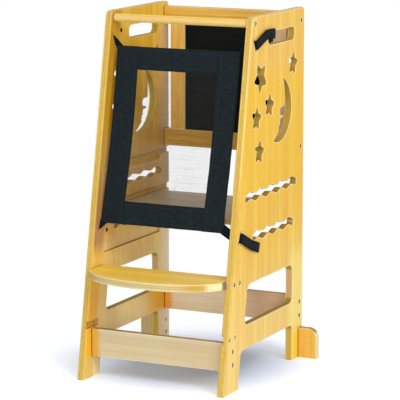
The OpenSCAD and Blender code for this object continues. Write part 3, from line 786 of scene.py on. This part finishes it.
def net_sag(x, level):
    """How far the cloth lies behind its plane: it hangs back between its corners, and draws
    into soft folds that fan out from the straps."""
    sag = 0.0035
    fold, fold_start, fold_reach, fold_turns = 0.0007, 0.02, 0.07, 11
    across = (x - LEFT) / (RIGHT - LEFT)
    up = (level - LOW) / (HIGH - LOW)
    hollow = sag * math.sin(math.pi * min(max(across, 0), 1))
    hollow *= math.sin(math.pi * min(max(up, 0), 1))
    folds = 0.0
    for corner_across, corner_up, turn in ((0, 1, 0.4), (1, 1, 2.1), (0, 0, 3.3), (1, 0, 5.2)):
        dx = (across - corner_across) * (RIGHT - LEFT)
        dy = (up - corner_up) * (HIGH - LOW)
        far = math.hypot(dx, dy)
        angle = math.atan2(abs(dy), abs(dx))
        fading = math.exp(-far / fold_reach) * min(far / fold_start, 1)
        folds += fold * math.sin(angle * fold_turns + turn) * fading
    return hollow + folds


def net_point(x, level, depth):
    """A point of the net, given across, up the slope and out from the net's plane."""
    return NET_FOOT + Vector((x + slip(x, level), 0, 0)) + SLOPE * level + OUTWARD * (
        depth - net_sag(x, level))


def new_piece(name, points, faces, material, weave=None, smooth=True):
    """A new piece of the scene. weave is each point's place on the cloth, for its finish."""
    mesh = bpy.data.meshes.new(name)
    mesh.from_pydata([tuple(p) for p in points], [], faces)
    mesh.materials.append(material)
    if weave is not None:
        held = mesh.attributes.new("weave", "FLOAT_VECTOR", "POINT")
        held.data.foreach_set("vector", np.asarray(weave, np.float32).ravel())
    mesh.polygons.foreach_set("use_smooth", [smooth] * len(mesh.polygons))
    mesh.update()
    piece = bpy.data.objects.new(name, mesh)
    bpy.context.scene.collection.objects.link(piece)
    return piece


def joined(parts):
    """Several lots of points, faces and weave as one."""
    points, faces, weave = [], [], []
    for part_points, part_faces, part_weave in parts:
        faces += [tuple(v + len(points) for v in face) for face in part_faces]
        points += part_points
        weave += part_weave
    return points, faces, weave


def tube_faces(rings, around, first=0):
    """Faces of a closed tube of rings of points, with both ends filled."""
    faces = []
    for i in range(rings - 1):
        for k in range(around):
            a = first + i * around + k
            b = first + i * around + (k + 1) % around
            faces.append((a, b, b + around, a + around))
    faces.append(tuple(first + k for k in reversed(range(around))))
    faces.append(tuple(first + (rings - 1) * around + k for k in range(around)))
    return faces


def band_profile(width, steps=30, thickness=0.0011, fold_radius=0.0012, stitch_reach=0.0011):
    """Half thickness of a folded band of cloth from one long edge to the other: round at the
    folds, pulled in along the two lines of stitching."""
    profile = []
    for k in range(steps + 1):
        s = 0.5 - 0.5 * math.cos(math.pi * k / steps)
        reach = s * width
        near = min(reach, width - reach)
        full = math.sqrt(max(0.0, 1 - (1 - min(near / fold_radius, 1)) ** 2))
        drawn = 0.42 * math.exp(-((near - HEM) / stitch_reach) ** 2)
        profile.append((reach, thickness / 2 * (0.12 + 0.88 * full) * (1 - drawn)))
    return profile


def border_band(start, end, side, width, depth, seed):
    """Points, faces and weave of one band: from start to end along its outer edge, growing to
    side, at a depth out of the net's plane. Places are (across, up the slope)."""
    ring_spacing, wave = 0.003, 0.0005
    pucker_size, pucker_pitch, pucker_reach = 0.00022, 0.0085, 0.012
    run = Vector(end) - Vector(start)
    length = run.length
    along = run / length
    rings = round(length / ring_spacing)
    profile = band_profile(width)
    draw = random.Random(seed)
    waves = [(draw.uniform(0.05, 0.16), draw.uniform(0, math.tau), draw.uniform(0.2, 0.5))
             for _ in range(4)]
    points, weave = [], []
    for i in range(rings + 1):
        t = length * i / rings
        ease = sum(wave * size * math.sin(math.tau * t / pitch + turn)
                   for pitch, turn, size in waves)
        for reach, half, sign in ([(r, h, 1) for r, h in profile]
                                  + [(r, h, -1) for r, h in reversed(profile)]):
            near = min(reach, width - reach)
            pucker = pucker_size * math.sin(math.tau * t / pucker_pitch + seed)
            pucker *= math.exp(-near / pucker_reach)
            place = Vector(start) + along * t + Vector(side) * (reach + ease * 0.6)
            points.append(net_point(place.x, place.y, depth + sign * half + pucker + ease))
            weave.append((reach, t, sign))
    return points, tube_faces(rings + 1, 2 * len(profile)), weave


def make_border(material):
    """Four bands of folded cloth: the upright ones run the net's whole height, over the ends of
    the level ones."""
    inset, drop = 0.002, 0.0005
    left, right = LEFT + inset, RIGHT - inset
    low, high = LOW + drop, HIGH - drop
    bands = (
        ((LEFT, LOW), (LEFT, HIGH), (1, 0), LEFT_BORDER_WIDTH, UPRIGHT_BAND_DEPTH),
        ((RIGHT, HIGH), (RIGHT, LOW), (-1, 0), BORDER_WIDTH, UPRIGHT_BAND_DEPTH),
        ((left, high), (right, high), (0, -1), BORDER_WIDTH, LEVEL_BAND_DEPTH),
        ((right, low), (left, low), (0, 1), BORDER_WIDTH, LEVEL_BAND_DEPTH),
    )
    points, faces, weave = joined(
        [border_band(*band, seed) for seed, band in enumerate(bands, start=1)])
    return new_piece("net_border_cloth", points, faces, material, weave)


def make_stitching(material):
    """Lines of thread along the border: two on each band."""
    gap = 0.002
    lines = []
    for x, way, width in ((LEFT, 1, LEFT_BORDER_WIDTH), (RIGHT, -1, BORDER_WIDTH)):
        for reach in (HEM, width - HEM):
            lines.append(((x + way * reach, LOW + gap), (x + way * reach, HIGH - gap),
                          UPRIGHT_BAND_DEPTH + THREAD_RISE))
    for level, way in ((LOW, 1), (HIGH, -1)):
        for reach in (HEM, BORDER_WIDTH - HEM):
            lines.append(((LEFT + LEFT_BORDER_WIDTH, level + way * reach),
                          (RIGHT - BORDER_WIDTH, level + way * reach),
                          LEVEL_BAND_DEPTH + THREAD_RISE))
    pitch, stitch, radius, around = 0.0038, 0.0027, 0.00028, 6
    points, faces = [], []
    for start, end, depth in lines:
        run = Vector(end) - Vector(start)
        along = run.normalized()
        sideways = Vector((-along.y, along.x))
        for i in range(int(run.length / pitch)):
            first = len(points)
            for share, lift, thick in ((0, 0.1, 0.35), (0.12, 1.1, 1), (0.5, 1.1, 1),
                                       (0.88, 1.1, 1), (1, 0.1, 0.35)):
                for k in range(around):
                    turn = math.tau * k / around
                    place = (Vector(start) + along * (i * pitch + share * stitch)
                             + sideways * radius * thick * math.cos(turn))
                    above = radius * (lift + thick * math.sin(turn))
                    points.append(net_point(place.x, place.y, depth + above))
            faces += tube_faces(5, around, first)
    return new_piece("net_stitching", points, faces, material)


def make_netting(material):
    """The see-through sheet inside the border, sewn under its inner edge."""
    left, right = LEFT + MESH_MARGIN, RIGHT - MESH_MARGIN
    low, high = LOW + MESH_MARGIN, HIGH - MESH_MARGIN
    columns, rows, depth = 60, 84, -0.0004
    points, weave = [], []
    for j in range(rows + 1):
        for i in range(columns + 1):
            x = left + (right - left) * i / columns
            level = low + (high - low) * j / rows
            points.append(net_point(x, level, depth))
            weave.append((x, level, 0))
    faces = [(j * (columns + 1) + i, j * (columns + 1) + i + 1,
              (j + 1) * (columns + 1) + i + 1, (j + 1) * (columns + 1) + i)
             for j in range(rows) for i in range(columns)]
    return new_piece("net_mesh_cloth", points, faces, material, weave)


# the straps

def chaikin(keys, rounds=3):
    """Rounds the corners of a line of keys, each an array of numbers."""
    for _ in range(rounds):
        cut = [keys[0]]
        for a, b in zip(keys, keys[1:]):
            cut += [a * 0.75 + b * 0.25, a * 0.25 + b * 0.75]
        keys = cut + [keys[-1]]
    return keys


def unit(vector):
    """The vector at length 1."""
    return np.asarray(vector, float) / np.linalg.norm(vector)


def webbing_tube(keys, step=0.0025, around=28):
    """Points, faces and weave of a flat strap with full edges through keys of (middle, half
    width across)."""
    fine = [keys[0]]
    for a, b in zip(keys, keys[1:]):
        count = max(1, round(float(np.linalg.norm(b[:3] - a[:3])) / step))
        fine += [a + (b - a) * i / count for i in range(1, count + 1)]
    points, weave = [], []
    gone = 0.0
    for i, now in enumerate(fine):
        before, after = fine[max(i - 1, 0)][:3], fine[min(i + 1, len(fine) - 1)][:3]
        middle, across = now[:3], now[3:]
        out = unit(np.cross(across, after - before))
        if i:
            gone += float(np.linalg.norm(middle - fine[i - 1][:3]))
        for k in range(around):
            turn = math.tau * k / around
            c, s = math.cos(turn), math.sin(turn)
            wide = math.copysign(abs(c) ** 0.45, c)
            thick = math.copysign(abs(s) ** 0.6, s) * STRAP_THICKNESS / 2
            points.append(middle + across * wide + out * thick)
            weave.append((wide * STRAP_WIDTH / 2, gone, math.copysign(1, s)))
    return points, tube_faces(len(fine), around), weave


def on_panel(reach, z, stand_off):
    """A point beside the right panel's outer face."""
    return np.array((HALF_WIDTH + stand_off, BACK - reach, z))


def key(middle, across):
    """One key of a strap, from its middle and half its width across."""
    return np.concatenate([np.asarray(middle, float), np.asarray(across, float)])


def panel_run(places):
    """Keys along the outer face through (reach, z, stand off), mitred where the run turns."""
    made = []
    for i, (reach, z, stand_off) in enumerate(places):
        ways = []
        for a, b in ((i - 1, i), (i, i + 1)):
            if a >= 0 and b < len(places):
                ways.append(unit([places[b][0] - places[a][0], places[b][1] - places[a][1]]))
        sides = [np.array((w[1], -w[0])) for w in ways]
        side = sum(sides)
        side = side / float(side @ side) * len(sides)
        made.append(key(on_panel(reach, z, stand_off),
                        np.array((0, -side[0], side[1])) * STRAP_WIDTH / 2))
    return made


def strap_keys(top, left, outer):
    """Keys of a right strap from behind a corner of the net, through its slot and along the
    panel. With left, it starts at the mirror image of the net's own left corner."""
    reach, level = slot_place(top)
    tilt = STRAP_ANGLE if top else -STRAP_ANGLE
    below_edge = STRAP_INSET + CLOTH_SPREAD
    edge = HIGH - below_edge if top else LOW + below_edge
    x = LEFT + STRAP_INSET if left else RIGHT - STRAP_INSET
    corner = np.array((abs(x + slip(x, edge)), edge))
    way = unit(np.array((INNER, level / math.cos(LEAN_ANGLE))) - corner)
    side = np.array((-way[1], way[0]))
    slope, outward = np.array(SLOPE), np.array(OUTWARD)

    def behind(distance):
        """A key behind the net, at a distance from its corner along the strap."""
        across, up = corner + way * distance
        middle = (np.array(NET_FOOT) + np.array((across, 0, 0)) + slope * up
                  - outward * (STRAP_THICKNESS / 2 + 0.0002))
        return key(middle, (np.array((side[0], 0, 0)) + slope * side[1]) * STRAP_WIDTH / 2)

    slot_across = np.array((0, -math.sin(tilt), math.cos(tilt))) * STRAP_WIDTH / 2
    past_slot = (reach + outer[0][0] * 0.3, level + outer[0][1] * 0.3, 0.0046)
    slot_points = ((INNER, BACK - reach, level), (HALF_WIDTH - 0.001, BACK - reach, level),
                   on_panel(reach - 0.001, level, 0.0042), on_panel(*past_slot))
    through = chaikin([behind(-STRAP_SEAM), behind(0.002)]
                      + [key(point, slot_across) for point in slot_points])
    along = panel_run([past_slot] + [(reach + r, level + z, off) for r, z, off in outer])
    return through + along[1:]


def tail_keys():
    """Keys of a top strap's narrowed tail, tucked into the hand slot."""
    reach, narrowed = HANDLE_FRONT - 0.018, 0.88
    tail = panel_run([(reach, HANDLE_LEVEL + 0.012, 0.0016),
                      (reach, HANDLE_LEVEL + 0.002, 0.0004),
                      (reach - 0.001, HANDLE_LEVEL - 0.011, -0.0016)])
    return [key(now[:3], now[3:] * narrowed) for now in tail]


def make_strap(name, node, top, left, material):
    """A strap from behind a corner of the net out through its slot and along the panel. The left
    ones are mirrored, but start at the net's own left corners."""
    tubes = [webbing_tube(strap_keys(top, left, TOP_OUTER if top else BOTTOM_OUTER))]
    if top:
        tubes.append(webbing_tube(tail_keys()))
    points, faces, weave = joined(tubes)
    if left:
        points = [p * np.array((-1, 1, 1)) for p in points]
        faces = [tuple(reversed(face)) for face in faces]
    strap = new_piece(name, points, faces, material, weave)
    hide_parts(node)
    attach(strap, "frame")
    return strap


# where a strap runs along the panel: (away from its slot, up from it, how far it stands off)
TOP_OUTER = ((-0.058, 0.021, 0.0050), (-0.084, 0.0205, 0.0062), (-0.112, 0.0195, 0.0030))
BOTTOM_OUTER = ((-0.060, -0.028, 0.0050), (-0.080, -0.034, 0.0062), (-0.106, -0.042, 0.0030))

webbing = strap_webbing()
for end in ("top", "bottom"):
    for side in ("left", "right"):
        node = f"strap_{end}_{side}"
        strap = make_strap("webbing_" + node, node, end == "top", side == "left", webbing)

border = make_border(canvas())
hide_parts("net_border")
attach(border, "frame")
stitching = make_stitching(thread())
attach(stitching, "frame")
mesh_cloth = make_netting(netting())
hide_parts("net_mesh")
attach(mesh_cloth, "frame")


# camera, floor and light

# the photo's camera, fitted to the tower's straight edges
camera = bpy.data.objects.new("camera", bpy.data.cameras.new("camera"))
bpy.context.scene.collection.objects.link(camera)
camera.location = (2.457575, -5.025988, 1.431328)
camera.rotation_euler = (math.radians(90 - 10.1258), 0, math.radians(25.7468))
camera.data.lens = 205.71
camera.data.sensor_width = 36
camera.data.clip_end = 100
bpy.context.scene.camera = camera


def seen_directly(nodes):
    """1 for rays from the camera, and through or off glossy things, that see the backdrop."""
    path = nodes.node("LightPath").socket.node
    camera_ray, glossy_ray, transmission_ray = [
        Value(nodes, path.outputs[kind])
        for kind in ("Is Camera Ray", "Is Glossy Ray", "Is Transmission Ray")]
    return camera_ray.most(glossy_ray.most(transmission_ray))


def white_floor():
    """White floor that keeps the tower's shadow and fades into the white backdrop further out. Near
    the tower it is painted a darker blue and its glow is held back, a painted shadow that deepens
    the real one.
    """
    finish = Finish("studio_floor")
    finish.tree.nodes.remove(finish.shader)
    where = finish.place()
    x, y, z = finish.axes(where)
    shadow_middle = (-0.03, 0.07)
    from_middle = finish.vector(x - shadow_middle[0], y - shadow_middle[1], 0.0)
    from_tower = finish.node("VectorMath", {"operation": "LENGTH"}, {0: from_middle}, output=1)
    far = finish.node("VectorMath", {"operation": "LENGTH"}, {0: where}, output=1)
    speck = finish.noise(where, scale=40, detail=2)
    colour = finish.mix(speck, seen(214, 229, 255), seen(218, 232, 255))
    # painted shadow: the floor's colour is a darker blue near the tower
    colour = finish.mix(from_tower.over(0.1, 0.34), seen(200, 214, 240), colour)
    plain = finish.node("BsdfDiffuse", {}, {"Color": colour})
    glow = finish.node("Emission", {}, {"Color": (1, 0.93, 0.85, 1), "Strength": 0.5})
    bright = finish.node("AddShader", {}, {0: plain, 1: glow})
    # painted shadow: the glow that whitens the floor is held back near the tower
    lifted = finish.node("MixShader", {}, {0: from_tower.over(0.1, 0.4), 1: plain, 2: bright})
    white = finish.node("Emission", {}, {"Color": (1, 1, 1, 1), "Strength": 1.0})
    faded = finish.node("MixShader", {}, {0: far.over(0.34, 0.62), 1: lifted, 2: white})
    shown = finish.node("MixShader", {}, {0: seen_directly(finish), 1: plain, 2: faded})
    finish.link(finish.tree.nodes["Material Output"].inputs["Surface"], shown)
    return finish.material


FLOOR_HALF = 7
floor = new_piece("studio_floor", [(-FLOOR_HALF, -FLOOR_HALF, 0), (FLOOR_HALF, -FLOOR_HALF, 0),
                                   (FLOOR_HALF, FLOOR_HALF, 0), (-FLOOR_HALF, FLOOR_HALF, 0)],
                  [(0, 1, 2, 3)], white_floor(), smooth=False)

# how bright the backdrop is as a light; where it is seen it is 1
AMBIENT = 0.66
world = bpy.data.worlds.new("studio_light")
world.use_nodes = True
bpy.context.scene.world = world
lighting = Nodes(world.node_tree)
background = world.node_tree.nodes["Background"]
lighting.link(background.inputs["Color"], (1, 1, 1, 1))
lighting.link(background.inputs["Strength"],
              AMBIENT + (1 - AMBIENT) * seen_directly(lighting))


def softbox(name, place, target, size, power):
    """A square light that faces a target."""
    lamp = bpy.data.lights.new(name, "AREA")
    lamp.shape = "SQUARE"
    lamp.size = size
    lamp.energy = power
    box = bpy.data.objects.new(name, lamp)
    box.location = place
    box.rotation_euler = (Vector(target) - Vector(place)).to_track_quat("-Z", "Y").to_euler()
    bpy.context.scene.collection.objects.link(box)


softbox("key_softbox", (3.0, -2.2, 2.9), (0, 0, 0.45), 1.6, 80)
softbox("front_softbox", (-1.2, -4.0, 1.8), (0, 0, 0.4), 2.0, 14)
softbox("low_softbox", (1.45, -3.35, 0.5), (0, 0, 0.2), 1.3, 45)

bpy.context.scene.view_settings.view_transform = "Standard"
